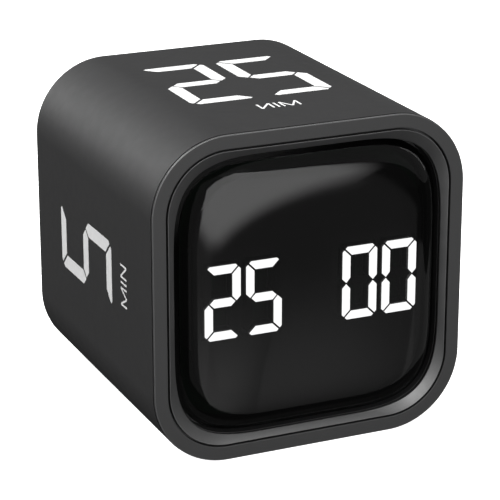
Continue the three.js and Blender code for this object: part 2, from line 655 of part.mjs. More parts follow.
function backCover() {
  const sinkFloor = COVER_BACK - 1.3;
  const sinkRadius = 2.25;
  const grilleHole = 0.7;
  const grillePitch = 2.2;
  const plate = squarePlate(FRAME_OUTSIDE, COVER_FRONT, COVER_BACK);
  const through = [COVER_FRONT - 1, COVER_BACK + 1];
  const buttonHoles = Object.values(BUTTONS).map((x) =>
    rod(CAP_RADIUS + GAP, ...through, x, BUTTON_Z, 20));
  const slot = slab(roundedRect(SLOT.halfX, SLOT.halfZ, 0.4, SLIDER_X, PORT_Z), ...through, 1);
  const mouth = slab(
    roundedRect(PORT.halfX + GAP, PORT.halfZ + GAP, PORT.radius + GAP, USB_X, PORT_Z), ...through, 2);
  const grille = Array.from({ length: 6 }, (_, i) => i * Math.PI / 3).map((angle) =>
    rod(grilleHole, ...through, grillePitch * Math.cos(angle), SPEAKER_Z + grillePitch * Math.sin(angle), 8));
  const screws = corners(BOSS, BOSS).flatMap(([x, z]) => [
    rod(SCREW_HOLE, ...through, x, z, 8), rod(sinkRadius, sinkFloor, COVER_BACK + 1, x, z, 16)]);
  const middle = rod(grilleHole, ...through, 0, SPEAKER_Z, 8);
  add("back_cover", carve(plate, ...buttonHoles, slot, mouth, middle, ...grille, ...screws), shellPlastic);
  const screw = screwShape(SCREW_HEAD, 0.9, SCREW_SHANK, 7.5);
  corners(BOSS, BOSS).forEach(([x, z], i) =>
    add(`cover_screw_${i + 1}`, screw, steel, x, sinkFloor + GAP, z));
}

housingSleeve();
frontFrame();
innerBezelRing();
displayLens();
lensGasket();
digitGuides();
segmentMask();
digitBlock();
displayBoard();
innerChassis();
battery();
ribbon();
mainBoard();
chips();
vibrationMotor();
pushButtons();
slideSwitch();
usbPort();
buzzer();
backCover();

export default timer;
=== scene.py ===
import json
import math

import bmesh
import bpy
from mathutils import Matrix, Vector


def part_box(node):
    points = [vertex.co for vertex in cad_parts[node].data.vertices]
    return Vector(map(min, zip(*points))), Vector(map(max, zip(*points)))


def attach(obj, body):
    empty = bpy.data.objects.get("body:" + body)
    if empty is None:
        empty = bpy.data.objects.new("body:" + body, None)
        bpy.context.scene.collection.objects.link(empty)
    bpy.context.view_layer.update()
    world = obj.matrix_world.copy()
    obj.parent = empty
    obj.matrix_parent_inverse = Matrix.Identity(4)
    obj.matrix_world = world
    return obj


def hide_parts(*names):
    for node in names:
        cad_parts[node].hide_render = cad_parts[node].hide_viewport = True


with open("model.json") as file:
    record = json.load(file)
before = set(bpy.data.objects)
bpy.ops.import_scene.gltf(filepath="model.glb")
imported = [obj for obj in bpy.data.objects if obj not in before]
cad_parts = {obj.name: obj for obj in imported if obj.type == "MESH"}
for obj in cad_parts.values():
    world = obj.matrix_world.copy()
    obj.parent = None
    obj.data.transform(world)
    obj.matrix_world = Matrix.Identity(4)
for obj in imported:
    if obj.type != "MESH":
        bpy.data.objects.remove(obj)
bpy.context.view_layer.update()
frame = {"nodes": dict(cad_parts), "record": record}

MM = 0.001

# The materials by name, filled by make_materials().
MATERIALS = {}

# Edges between faces that meet at more than this many degrees are shaded sharp.
SHARP = 35
CRISP = 20

# ---- Sizes, read from the frame where it has them ----
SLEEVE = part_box("housing_sleeve")
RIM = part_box("front_frame")
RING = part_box("inner_bezel_ring")
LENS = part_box("display_lens")
HALF = RIM[1].x
CENTRE_Z = (RIM[0].z + RIM[1].z) / 2
MIDDLE = Vector((0, 0, CENTRE_Z))
FRONT = RIM[0].y
BACK = SLEEVE[1].y
CORNER = 14 * MM
WALL = 2 * MM

# The rim shows as a thin band round the front, a seam's width away from the sleeve and a hair
# smaller than it.
SEAM = 0.16 * MM
RIM_SIDE = 0.36 * MM
RIM_HALF = HALF - 0.06 * MM

# The lens's outline is a superellipse at its corners.
LENS_HALF = LENS[1].x
LENS_CORNER = 19 * MM
LENS_POWER = 3.5

# The signs of the two axes in each quarter of a turn.
QUADRANTS = ((1, 1), (1, -1), (-1, -1), (-1, 1))


# ---- Mesh helpers ----

def soften(value, power):
    """A sine or cosine turned into that of a superellipse."""
    return math.copysign(abs(value) ** (2 / power), value)


def square_turn(half, y, softness=0.0, steps=24):
    """One turn round the Y axis: a rounded square, or with softness 1 the lens's softer outline."""
    radius = max(CORNER - HALF + half, 0.1 * MM)
    wide = LENS_CORNER * half / LENS_HALF
    points = []
    for quadrant, (side_x, side_z) in enumerate(QUADRANTS):
        for step in range(steps + 1):
            angle = (quadrant + step / steps) * math.pi / 2
            pair = []
            for side, wave in ((side_x, math.sin(angle)), (side_z, math.cos(angle))):
                plain = side * (half - radius) + radius * wave
                soft = side * (half - wide) + wide * soften(wave, LENS_POWER)
                pair.append(plain + (soft - plain) * softness)
            points.append(Vector((pair[0], y, CENTRE_Z + pair[1])))
    return points


def rounded(before, corner, after, reach, segments=4):
    """The curve that rounds a corner of a profile, from a reach before it to a reach after it."""
    here = Vector(corner)
    most = 0.45
    ends = []
    for point in (before, after):
        side = Vector(point) - here
        ends.append(here + side.normalized() * min(reach, side.length * most))
    start, end = ends
    steps = [k / segments for k in range(segments + 1)]
    return [start.lerp(here, t).lerp(here.lerp(end, t), t) for t in steps]


def fillet(corners):
    """Rounds the corners of a closed profile of (half, y, softness, reach)."""
    profile = []
    for i, (half, y, softness, reach) in enumerate(corners):
        if reach:
            following = corners[(i + 1) % len(corners)]
            curve = rounded(corners[i - 1][:2], (half, y), following[:2], reach)
            profile += [(point.x, point.y, softness) for point in curve]
        else:
            profile.append((half, y, softness))
    return profile


def shade(mesh, sharp=SHARP):
    """Smooth shading that breaks at sharp edges."""
    mesh.polygons.foreach_set("use_smooth", [True] * len(mesh.polygons))
    mesh.set_sharp_from_angle(angle=math.radians(sharp))


def mesh_piece(name, bm, sharp=SHARP):
    """A finished object from a bmesh, with its faces turned out."""
    bmesh.ops.remove_doubles(bm, verts=bm.verts, dist=1e-7)
    bmesh.ops.recalc_face_normals(bm, faces=bm.faces)
    mesh = bpy.data.meshes.new(name)
    bm.to_mesh(mesh)
    bm.free()
    shade(mesh, sharp)
    piece = bpy.data.objects.new(name, mesh)
    bpy.context.scene.collection.objects.link(piece)
    return piece


def band(bm, row, following):
    """Adds the faces between two rows of vertices of equal length."""
    for i in range(len(row)):
        j = (i + 1) % len(row)
        bm.faces.new((row[i], row[j], following[j], following[i]))


def skin(name, turns, closed=True, sharp=SHARP):
    """A surface through turns of equal length: a ring when closed, else capped at both ends."""
    bm = bmesh.new()
    rows = [[bm.verts.new(point) for point in turn] for turn in turns]
    pairs = list(zip(rows, rows[1:]))
    if closed:
        pairs.append((rows[-1], rows[0]))
    else:
        for row in (rows[0], rows[-1]):
            tip = bm.verts.new(sum((v.co for v in row), Vector()) / len(row))
            for i, vert in enumerate(row):
                bm.faces.new((vert, row[(i + 1) % len(row)], tip))
    for pair in pairs:
        band(bm, *pair)
    return mesh_piece(name, bm, sharp)


def loft(bm, outlines):
    """Adds a closed solid through outlines of equal length, each a list of points."""
    rows = [[bm.verts.new(point) for point in outline] for outline in outlines]
    bm.faces.new(rows[0][::-1])
    bm.faces.new(rows[-1])
    for pair in zip(rows, rows[1:]):
        band(bm, *pair)


def prism(bm, outline, place, low, high):
    """Adds a prism over an outline of (u, v) points; place turns (u, v, w) into the frame."""
    loft(bm, [[place @ Vector((u, v, w)) for u, v in outline] for w in (low, high)])


def lathe(name, profile, centre, sides):
    """A turned piece around Y through (radius, y) points that start and end on the axis."""
    bm = bmesh.new()
    rows = []
    for radius, y in profile:
        count = 1 if radius == 0 else sides
        rows.append([
            bm.verts.new((
                centre.x + radius * math.sin(2 * math.pi * i / sides), y,
                centre.z + radius * math.cos(2 * math.pi * i / sides)))
            for i in range(count)])
    for a, b in zip(rows, rows[1:]):
        for i in range(sides):
            j = (i + 1) % sides
            corners = [a[i % len(a)], a[j % len(a)], b[j % len(b)], b[i % len(b)]]
            bm.faces.new(list(dict.fromkeys(corners)))
    return mesh_piece(name, bm)


def rounded_rect(half_u, half_v, radius, steps=8):
    """The (u, v) outline of a rounded rectangle round the origin."""
    points = []
    for quadrant, (side_v, side_u) in enumerate(QUADRANTS):
        for step in range(steps + 1):
            angle = (quadrant + step / steps) * math.pi / 2
            points.append((
                side_u * (half_u - radius) + radius * math.cos(angle),
                side_v * (half_v - radius) + radius * math.sin(angle)))
    return points


def across(outline, x, z, y):
    """Puts a (u, v) outline on the plane at depth y, round the point (x, z)."""
    return [Vector((x + u, y, z + v)) for u, v in outline]


def circle(radius, sides):
    """The (u, v) outline of a circle round the origin."""
    return [
        (radius * math.cos(2 * math.pi * i / sides), radius * math.sin(2 * math.pi * i / sides))
        for i in range(sides)]


def disc(radius, sides):
    """A round hole for grown(): a function that gives the circle grown by extra."""
    return lambda extra: circle(radius + extra, sides)


def oblong(half_u, half_v, radius):
    """An oblong hole for grown(): a function that gives the rounded rectangle grown by extra."""
    return lambda extra: rounded_rect(half_u + extra, half_v + extra, radius + extra)


def grown(outline_of, past, lip, surface, floor):
    """The outlines of a cutter for a hole that widens to a rounded lip at the surface."""
    steps = 4
    levels = [(0, floor), (0, surface - lip)]
    for k in range(1, steps + 1):
        turn = k / steps * math.pi / 2
        levels.append((lip * (1 - math.cos(turn)), surface - lip * (1 - math.sin(turn))))
    levels.append((lip, surface + past))
    return [(outline_of(extra), y) for extra, y in levels]


def bake(piece):
    """Applies a piece's modifiers to its mesh."""
    bpy.context.view_layer.update()
    evaluated = piece.evaluated_get(bpy.context.evaluated_depsgraph_get())
    mesh = bpy.data.meshes.new_from_object(evaluated)
    piece.modifiers.clear()
    piece.data = mesh
    return mesh


def cut(piece, cutter):
    """Takes the cutter's mesh out of the piece."""
    tool = bpy.data.objects.new("cutter", bpy.data.meshes.new("cutter"))
    bmesh.ops.recalc_face_normals(cutter, faces=cutter.faces)
    cutter.to_mesh(tool.data)
    cutter.free()
    bpy.context.scene.collection.objects.link(tool)
    modifier = piece.modifiers.new("cut", "BOOLEAN")
    modifier.object = tool
    modifier.solver = "EXACT"
    mesh = bake(piece)
    bpy.data.objects.remove(tool)
    shade(mesh)


def keep_flats(piece):
    """Shades the large flat faces as flat, so that only the rounded edges turn."""
    modifier = piece.modifiers.new("flats", "WEIGHTED_NORMAL")
    modifier.weight = 100  # the highest: a vertex takes the direction of its largest face
    modifier.keep_sharp = True
    bake(piece)


def settle(piece, body, slot, material, *nodes):
    """Gives a piece its body and material, and hides the CAD nodes that it stands for. The slot is
    not used.
    """
    piece.data.materials.clear()
    piece.data.materials.append(MATERIALS[material])
    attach(piece, body)
    if nodes:
        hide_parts(*nodes)


# ---- Material helpers ----

# The sockets of a Mix node that mixes colours.
MIX_FACTOR, MIX_FIRST, MIX_SECOND, MIX_RESULT = 0, 6, 7, 2


class Nodes:
    """A material under construction, with its Principled shader."""

    def __init__(self, name, **sockets):
        self.material = bpy.data.materials.new(name)
        self.material.use_nodes = True
        self.tree = self.material.node_tree
        self.shader = self.tree.nodes["Principled BSDF"]
        self.coordinates = self.add("ShaderNodeTexCoord").outputs["Object"]
        for socket, value in sockets.items():
            self.shader.inputs[socket.replace("_", " ")].default_value = value

    def add(self, kind, **settings):
        node = self.tree.nodes.new(kind)
        for key, value in settings.items():
            setattr(node, key, value)
        return node

    def link(self, source, target):
        self.tree.links.new(source, target)

    def noise(self, scale, detail=2.0, stretch=None):
        """A noise value with about this many features in a metre."""
        node = self.add("ShaderNodeTexNoise")
        node.inputs["Scale"].default_value = scale
        node.inputs["Detail"].default_value = detail
        source = self.coordinates
        if stretch:
            mapping = self.add("ShaderNodeMapping")
            mapping.inputs["Scale"].default_value = stretch
            self.link(source, mapping.inputs["Vector"])
            source = mapping.outputs["Vector"]
        self.link(source, node.inputs["Vector"])
        return node.outputs["Fac"]

    def between(self, value, low, high):
        """Maps a noise value, which mostly lies from 0.3 to 0.7, into a range."""
        node = self.add("ShaderNodeMapRange")
        self.link(value, node.inputs["Value"])
        for key, number in (
                ("From Min", 0.3), ("From Max", 0.7), ("To Min", low), ("To Max", high)):
            node.inputs[key].default_value = number
        return node.outputs["Result"]

    def blend(self, factor, first, second):
        """A colour between two others, each a colour or another blend."""
        node = self.add("ShaderNodeMix", data_type="RGBA")
        self.link(factor, node.inputs[MIX_FACTOR])
        for colour, socket in (
                (first, node.inputs[MIX_FIRST]), (second, node.inputs[MIX_SECOND])):
            if isinstance(colour, tuple):
                socket.default_value = (*colour, 1)
            else:
                self.link(colour, socket)
        return node.outputs[MIX_RESULT]

    def colour(self, value):
        self.link(value, self.shader.inputs["Base Color"])

    def roughness(self, value):
        self.link(value, self.shader.inputs["Roughness"])

    def bump(self, height, strength, distance):
        node = self.add("ShaderNodeBump")
        node.inputs["Strength"].default_value = strength
        node.inputs["Distance"].default_value = distance
        self.link(height, node.inputs["Height"])
        self.link(node.outputs["Normal"], self.shader.inputs["Normal"])


def grey(level):
    """A grey with a trace of blue."""
    return (level, level, level * 1.015)


def moulded(name, level, rough, grain=9000, bump=0.12, specular=0.35):
    """Spark-eroded plastic: a fine grain, faint flow clouds and an uneven gloss."""
    made = Nodes(name, Specular_IOR_Level=specular)
    clouds = made.between(made.noise(55, 3), 0, 1)
    cloudiness, unevenness = 0.02, 0.03
    made.colour(made.blend(
        clouds, grey(level * (1 - cloudiness)), grey(level * (1 + cloudiness))))
    made.roughness(made.between(made.noise(420, 4), rough - unevenness, rough + unevenness))
    if bump:
        made.bump(made.noise(grain, 3), bump, 0.02 * MM)
    return made.material


def make_materials():
    """Fills MATERIALS. The names are the record's material slots, where there is a slot."""
    MATERIALS["shell"] = moulded("shell_plastic", 0.028, 0.5)
    MATERIALS["frame"] = moulded("frame_plastic", 0.028, 0.5, grain=11000, bump=0.08)
    MATERIALS["ring"] = moulded(
        "ring_plastic", 0.026, 0.42, grain=6000, bump=0.4, specular=0.8)
    # The edge strips' plastic: its lighter colour is a painted highlight, and its lower roughness and
    # higher specular make it glossier.
    MATERIALS["painted_highlight"] = moulded(
        "highlight_edge_plastic", 0.07, 0.34, grain=5000, bump=0.1, specular=0.6)
    MATERIALS["button"] = moulded("button_plastic", 0.03, 0.42, grain=7000)
    MATERIALS["black_plastic"] = moulded("black_plastic", 0.02, 0.45)
    MATERIALS["mask"] = moulded("mask_film", 0.06, 0.7, bump=0)
    MATERIALS["reflector"] = moulded("reflector_plastic", 0.3, 0.5)
    MATERIALS["white_plastic"] = moulded("white_plastic", 0.72, 0.45)
    MATERIALS["gasket"] = moulded("gasket_rubber", 0.012, 0.8, grain=3000)
    MATERIALS["jacket_black"] = moulded("black_jacket", 0.015, 0.4)
    MATERIALS["foam"] = moulded("foam", 0.09, 0.9, grain=1500, bump=0.9)

    lens = Nodes(
        "smoked_lens", Base_Color=(0.001, 0.001, 0.001, 1), Alpha=0.7, Roughness=0.03,
        Specular_IOR_Level=0.5)
    MATERIALS["lens"] = lens.material

    lit = Nodes(
        "lit_segment", Base_Color=(0.9, 0.9, 0.9, 1), Emission_Color=(1, 1, 1, 1),
        Emission_Strength=3.3, Roughness=0.5)
    MATERIALS["lit"] = lit.material
    MATERIALS["unlit"] = moulded("unlit_segment", 0.012, 0.5, bump=0.02)

    ink = Nodes("print_ink", Roughness=0.45)
    ink.colour(ink.blend(
        ink.between(ink.noise(900, 4), 0, 1), (0.80, 0.80, 0.80), (0.86, 0.86, 0.855)))
    ink.bump(ink.noise(6000, 2), 0.05, 0.01 * MM)
    MATERIALS["ink"] = ink.material

    red = Nodes("red_jacket")
    red.colour(red.blend(red.noise(300, 2), (0.42, 0.015, 0.015), (0.5, 0.03, 0.02)))
    red.roughness(red.between(red.noise(800, 2), 0.35, 0.45))
    MATERIALS["jacket_red"] = red.material

    board = Nodes("solder_mask", Specular_IOR_Level=0.5)
    board.colour(board.blend(board.noise(260, 3), (0.012, 0.09, 0.035), (0.016, 0.12, 0.045)))
    board.roughness(board.between(board.noise(900, 2), 0.3, 0.42))
    board.bump(board.noise(1500, 2), 0.1, 0.02 * MM)
    MATERIALS["circuit_board"] = board.material

    for name, tint, rough, stretch in (
            ("steel", (0.58, 0.58, 0.59), 0.3, (1, 12, 1)),
            ("brass", (0.72, 0.53, 0.21), 0.28, (1, 6, 1)),
            ("battery_foil", (0.66, 0.66, 0.67), 0.34, (4, 1, 1))):
        metal = Nodes(name + "_metal", Metallic=1.0)
        streaks = metal.noise(700, 3, stretch)
        darker = tuple(channel * 0.9 for channel in tint)
        metal.colour(metal.blend(streaks, darker, tint))
        metal.roughness(metal.between(streaks, rough - 0.06, rough + 0.08))
        metal.bump(streaks, 0.06, 0.01 * MM)
        MATERIALS[name] = metal.material


# ---- The shell ----

def build_sleeve():
    """The open tube that the rim, the back cover and everything inside fit into."""
    seam = FRONT + RIM_SIDE + SEAM
    inside = HALF - WALL
    profile = fillet([
        (HALF, seam, 0, 0.1 * MM), (HALF, BACK, 0, 0.6 * MM), (inside, BACK, 0, 0.25 * MM),
        (inside, seam + WALL, 0, 0),
    ])
    piece = skin("sleeve", [square_turn(*point) for point in profile])
    keep_flats(piece)
    settle(piece, "casing", "shell", "shell", "housing_sleeve")


def build_highlight_edge(name, before, corner, after, reach):
    """A strip a hair proud of a rounded front edge, lighter than the plastic round it: a painted
    highlight along the edge, on a glossier finish.

    Its last line of points lies inside the plastic, so that the strip is closed.
    """
    curve = rounded(before, corner, after, reach, segments=6)
    chord = (curve[0] + curve[-1]) / 2
    proud = 0.003 * MM
    out = (Vector(corner) - chord).normalized() * proud
    strip = [point + out for point in curve] + [chord - out * 5]
    piece = skin(name, [square_turn(point.x, point.y) for point in strip])
    settle(piece, "casing", "frame", "painted_highlight")


def build_frame():
    """The flat rim, its skirt inside the sleeve, and the shelf and pocket that hold the lens."""
    edge = FRONT + RIM_SIDE
    front_reach = 0.2 * MM
    outside = HALF - WALL - 0.3 * MM
    skirt = outside - 1.5 * MM
    depth = RIM[1].y
    shelf_inside = outside - 4 * MM
    shelf_front, shelf_back = FRONT + 4.3 * MM, FRONT + 5.5 * MM
    shelf_softness = 0.6
    pocket = LENS_HALF + 0.35 * MM
    seat = RING[1].y + 0.3 * MM
    rim_inside = RING[1].x + 0.28 * MM
    profile = fillet([
        (RIM_HALF, FRONT, 0, front_reach), (RIM_HALF, edge, 0, 0.05 * MM),
        (outside, edge + RIM_HALF - outside, 0, 0), (outside, depth, 0, 0),
        (skirt, depth, 0, 0), (skirt, shelf_back, 0, 0),
        (shelf_inside, shelf_back, shelf_softness, 0),
        (shelf_inside, shelf_front, shelf_softness, 0),
        (pocket, shelf_front, 1, 0), (pocket, seat, 1, 0), (rim_inside, seat, 0, 0),
        (rim_inside, FRONT, 0, 0.14 * MM),
    ])
    piece = skin("front_frame_rim", [square_turn(*point) for point in profile])
    keep_flats(piece)
    settle(piece, "casing", "frame", "frame", "front_frame")
    build_highlight_edge(
        "front_frame_edge", (RIM_HALF, edge), (RIM_HALF, FRONT), (rim_inside, FRONT), front_reach)


def build_ring():
    """The narrow ring that slopes in from the rim, and turns from its outline to the lens's."""
    back = RING[1].y
    outside = RING[1].x - 0.08 * MM
    inside = LENS_HALF + 0.4 * MM
    high, low = RING[0].y - 0.03 * MM, RING[0].y + 0.6 * MM
    front_reach = 0.16 * MM
    profile = fillet([
        (outside, high, 0, front_reach), (outside, back, 0, 0),
        (inside, back, 1, 0), (inside, low, 1, 0.08 * MM),
    ])
    piece = skin("bezel_ring", [square_turn(*point) for point in profile])
    settle(piece, "casing", "frame", "ring", "inner_bezel_ring")
    build_highlight_edge(
        "bezel_ring_edge", (outside, back), (outside, high), (inside, low), front_reach)


# ---- The display ----

def build_lens():
    """A faintly crowned face whose shoulder is an arc that rolls back to the edge."""
    crown, foot = LENS[0].y, LENS[1].y
    roll, drop, sag = 3.6 * MM, 2.45 * MM, 0.28 * MM
    face_half = LENS_HALF - roll
    arc = 2 * math.atan2(drop, roll)
    radius = roll / math.sin(arc)
    face_steps, arc_steps, sides = 12, 16, 32
    turns = []
    for k in range(1, face_steps + 1):
        share = k / face_steps
        turns.append(square_turn(face_half * share, crown + sag * share ** 2, 1, sides))
    for k in range(1, arc_steps + 1):
        angle = arc * k / arc_steps
        turns.append(square_turn(
            face_half + radius * math.sin(angle),
            crown + sag + radius * (1 - math.cos(angle)), 1, sides))
    turns.append(square_turn(LENS_HALF, foot, 1, sides))

    # The hollow behind the face, as millimetres in from the edge and back from the crown.
    inside = ((1.5, 3.5), (1.7, 2.3), (2.9, 1.3), (4.4, 0.75), (7, 0.62), (14, 0.52), (24, 0.5))
    for inset, depth in inside:
        turns.append(square_turn(LENS_HALF - inset * MM, crown + depth * MM, 1, sides))
    piece = skin("display_window", turns, closed=False, sharp=50)
    settle(piece, "casing", "lens", "lens", "display_lens")


# The segments' usual letters, in the order of segment_outlines(), and those that make each figure.
SEGMENTS = "adgbcfe"
LIT = {"0": "abcdef", "1": "bc", "2": "abdeg", "5": "acdfg"}


def segment_outlines(width, height, stroke, bevel, gap):
    """The seven segments of a digit centred on the origin: mitred bars with pointed joints.

    The bevel is how far the digit's outer corners are cut back, and the gap is between segments.
    """
    right, top = width / 2, height / 2
    joint = gap / math.sqrt(2)
    in_x, in_z, tip = right - stroke, top - stroke, right - stroke / 2
    shoulder = stroke / 2 + joint
    top_bar = [
        (right - bevel / 2 - joint / 2, top - bevel / 2 + joint / 2), (right - bevel, top),
        (bevel - right, top), (joint / 2 + bevel / 2 - right, top - bevel / 2 + joint / 2),
        (joint - in_x, in_z), (in_x - joint, in_z),
    ]
    side = [
        (right - bevel / 2 + joint / 2, top - bevel / 2 - joint / 2), (right, top - bevel),
        (right, shoulder - joint / 2), (tip, joint / 2), (in_x, shoulder), (in_x, in_z - joint),
    ]
    middle = [
        (joint - tip, 0), (joint - in_x, stroke / 2), (in_x - joint, stroke / 2),
        (tip - joint, 0), (in_x - joint, -stroke / 2), (joint - in_x, -stroke / 2),
    ]

    def flip(points, sign_x, sign_z):
        return [(sign_x * x, sign_z * z) for x, z in points]

    return [
        top_bar, flip(top_bar, 1, -1), middle,
        side, flip(side, 1, -1), flip(side, -1, 1), flip(side, -1, -1),
    ]


def build_digits():
    """The four light guides: a bright face on each lit segment, and the dark sides behind it.

    The faces lie in front of the guides, where refraction in the bonded lens makes them appear.
    """
    stroke, bevel, gap = 1.55 * MM, 0.95 * MM, 0.34 * MM
    film, apparent, depth = 0.04 * MM, 0.78 * MM, 1.6 * MM
    numbers = {
        "digit_minutes_tens": "2", "digit_minutes_ones": "5",
        "digit_seconds_tens": "0", "digit_seconds_ones": "0",
    }
    for node, number in numbers.items():
        low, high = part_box(node)
        centre = (low + high) / 2
        outlines = segment_outlines(high.x - low.x, high.z - low.z, stroke, bevel, gap)
        place = Matrix.Translation((centre.x, low.y, centre.z)) @ Matrix.Rotation(math.pi / 2, 4, "X")
        faces, sides = bmesh.new(), bmesh.new()
        for letter, outline in zip(SEGMENTS, outlines):
            if letter in LIT[number]:
                prism(faces, outline, place, apparent - film, apparent)
            prism(sides, outline, place, -depth, 0)
        lit_faces = mesh_piece(f"{node}_lit", faces, CRISP)
        settle(lit_faces, "casing", "light_guide", "lit", node)
        guide = mesh_piece(f"{node}_guide", sides, CRISP)
        settle(guide, "casing", "light_guide", "unlit")


# ---- The printed numbers ----

def letter_m(x, width, height, stroke):
    """The outline of a capital M that starts at x, with its foot at 0."""
    half_run = width / 2 - stroke / 2
    slant = stroke * math.hypot(1, half_run / height)
    nick = stroke * height / half_run
    dip = height - (width / 2 - slant) * height / half_run
    points = [
        (0, 0), (stroke, 0), (stroke, height - nick), (half_run, 0), (width - half_run, 0),
        (width - stroke, height - nick), (width - stroke, 0), (width, 0), (width, height),
        (width - slant, height), (width / 2, dip), (slant, height), (0, height),
    ]
    return [(x + u, v) for u, v in points]


def letter_n(x, width, height, stroke):
    """The outline of a capital N that starts at x, with its foot at 0."""
    slant = stroke * math.hypot(1, width / height)
    nick = stroke * height / (width - slant)
    points = [
        (0, 0), (stroke, 0), (stroke, height - nick), (width - slant, 0), (width, 0),
        (width, height), (width - stroke, height), (width - stroke, nick), (slant, height),
        (0, height),
    ]
    return [(x + u, v) for u, v in points]


def minute_label(mirrored):
    """The outlines of the small word MIN, centred across."""
    height, stroke, space = 2.85 * MM, 0.36 * MM, 0.67 * MM
    wide_m, wide_n = 3.5 * MM, 2.6 * MM
    start = -(wide_m + wide_n + stroke + 2 * space) / 2
    bar = start + wide_m + space
    outlines = [
        letter_m(start, wide_m, height, stroke),
        [(bar, 0), (bar + stroke, 0), (bar + stroke, height), (bar, height)],
        letter_n(bar + stroke + space, wide_n, height, stroke),
    ]
    if mirrored:
        outlines = [[(-u, v) for u, v in outline] for outline in outlines]
    return outlines


def build_print(face, number, right, out, mirrored=False, shift=(0, 0)):
    """Ink on one face: a number of minutes in segments, with MIN between it and the display.

    The shift is how far the print lies off its place, to the right and to the back.
    """
    width, height, space = 12.65 * MM, 26.6 * MM, 2.6 * MM
    stroke, bevel, gap = 2.65 * MM, 1.4 * MM, 0.5 * MM
    number_middle, label_foot = 3.15 * MM, -17.5 * MM
    proud, sunk = 0.015 * MM, 0.02 * MM
    back = Vector((0, 1, 0))
    right, out = Vector(right), Vector(out)
    origin = MIDDLE + out * HALF
    place = Matrix.Translation(origin) @ Matrix((right, back, out)).transposed().to_4x4()
    sideways, along = shift
    bm = bmesh.new()
    outlines = segment_outlines(width, height, stroke, bevel, gap)
    start = -(len(number) - 1) * (width + space) / 2
    for i, figure in enumerate(number):
        offset = start + i * (width + space)
        for letter, outline in zip(SEGMENTS, outlines):
            if letter in LIT[figure]:
                moved = [(u + offset + sideways, v + number_middle + along) for u, v in outline]
                prism(bm, moved, place, -sunk, proud)
    for outline in minute_label(mirrored):
        moved = [(u + sideways, v + label_foot + along) for u, v in outline]
        prism(bm, moved, place, -sunk, proud)
    settle(mesh_piece(f"print_{face}", bm, CRISP), "casing", "light_guide", "ink")


# ---- The back ----

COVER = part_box("back_cover")
CAP_RADIUS = 4 * MM

# Where the flanges of the caps and the switch knob end, just under the cover.
FLANGE_TOP = COVER[0].y - 0.3 * MM


def middle_of(node):
    """The middle of a node's box."""
    low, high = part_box(node)
    return (low + high) / 2


def build_cover():
    """The back plate, with holes for the caps, the switch, the port, the speaker and the screws."""
    half, hub = COVER[1].x, 0.4 * MM
    front, back = COVER[0].y, COVER[1].y
    profile = fillet([
        (hub, back, 0, 0), (half, back, 0, 0.3 * MM), (half, front, 0, 0.2 * MM),
        (hub, front, 0, 0)])
    plate = skin("rear_cover", [square_turn(*point) for point in profile], closed=False)
    cutter = bmesh.new()
    past = 1 * MM

    def hole(outline_of, x, z, lip, floor=front - past):
        loft(cutter, [
            across(outline, x, z, y) for outline, y in grown(outline_of, past, lip, back, floor)])

    for node in ("button_minutes", "button_seconds", "button_start"):
        centre = middle_of(node)
        hole(disc(CAP_RADIUS + 0.3 * MM, 48), centre.x, centre.z, 0.3 * MM)
    knob = middle_of("slider_knob")
    hole(oblong(4 * MM, 1.8 * MM, 0.5 * MM), knob.x, knob.z, 0.2 * MM)
    port = middle_of("usb_c_shell")
    hole(oblong(4.77 * MM, 1.93 * MM, 1.8 * MM), port.x, port.z, 0.3 * MM)
    speaker = middle_of("buzzer_case")
    for u, v in [(0, 0)] + circle(2.2 * MM, 6):
        hole(disc(0.7 * MM, 20), speaker.x + u, speaker.z + v, 0.12 * MM)
    for i in range(1, 5):
        centre = middle_of(f"cover_screw_{i}")
        hole(disc(2.25 * MM, 32), centre.x, centre.z, 0.15 * MM, back - 1.3 * MM)
        shank_hole = circle(1.1 * MM, 20)
        loft(cutter, [
            across(shank_hole, centre.x, centre.z, y) for y in (front - past, front + past)])
    cut(plate, cutter)
    keep_flats(plate)
    settle(plate, "casing", "shell", "shell", "back_cover")


def build_screws():
    """Pan heads with a cross recess, one in each corner of the cover."""
    for i in range(1, 5):
        node = f"cover_screw_{i}"
        low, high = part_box(node)
        centre = middle_of(node)
        top, radius = high.y, (high.x - low.x) / 2
        under = top - 0.9 * MM
        tip, shank, blade = 0.5 * MM, 0.8 * MM, 0.2 * MM
        piece = lathe(f"rear_screw_{i}", [
            (0, low.y), (tip, low.y), (shank, low.y + 0.8 * MM), (shank, under),
            (radius - 0.05 * MM, under), (radius, under + 0.08 * MM), (radius, top - 0.45 * MM),
            (radius - 0.12 * MM, top - 0.2 * MM), (radius - 0.4 * MM, top - 0.05 * MM),
            (radius - 0.8 * MM, top), (0, top)], centre, 40)
        levels = (
            (0.35 * MM, top - 0.75 * MM), (1.1 * MM, top - 0.25 * MM), (1.25 * MM, top + 0.4 * MM))
        for upright in (False, True):
            arm = bmesh.new()
            outlines = []
            for reach, y in levels:
                half_u, half_v = (blade, reach) if upright else (reach, blade)
                outline = rounded_rect(half_u, half_v, 0.08 * MM, 3)
                outlines.append(across(outline, centre.x, centre.z, y))
            loft(arm, outlines)
            cut(piece, arm)
        settle(piece, "casing", "steel", "steel", node)


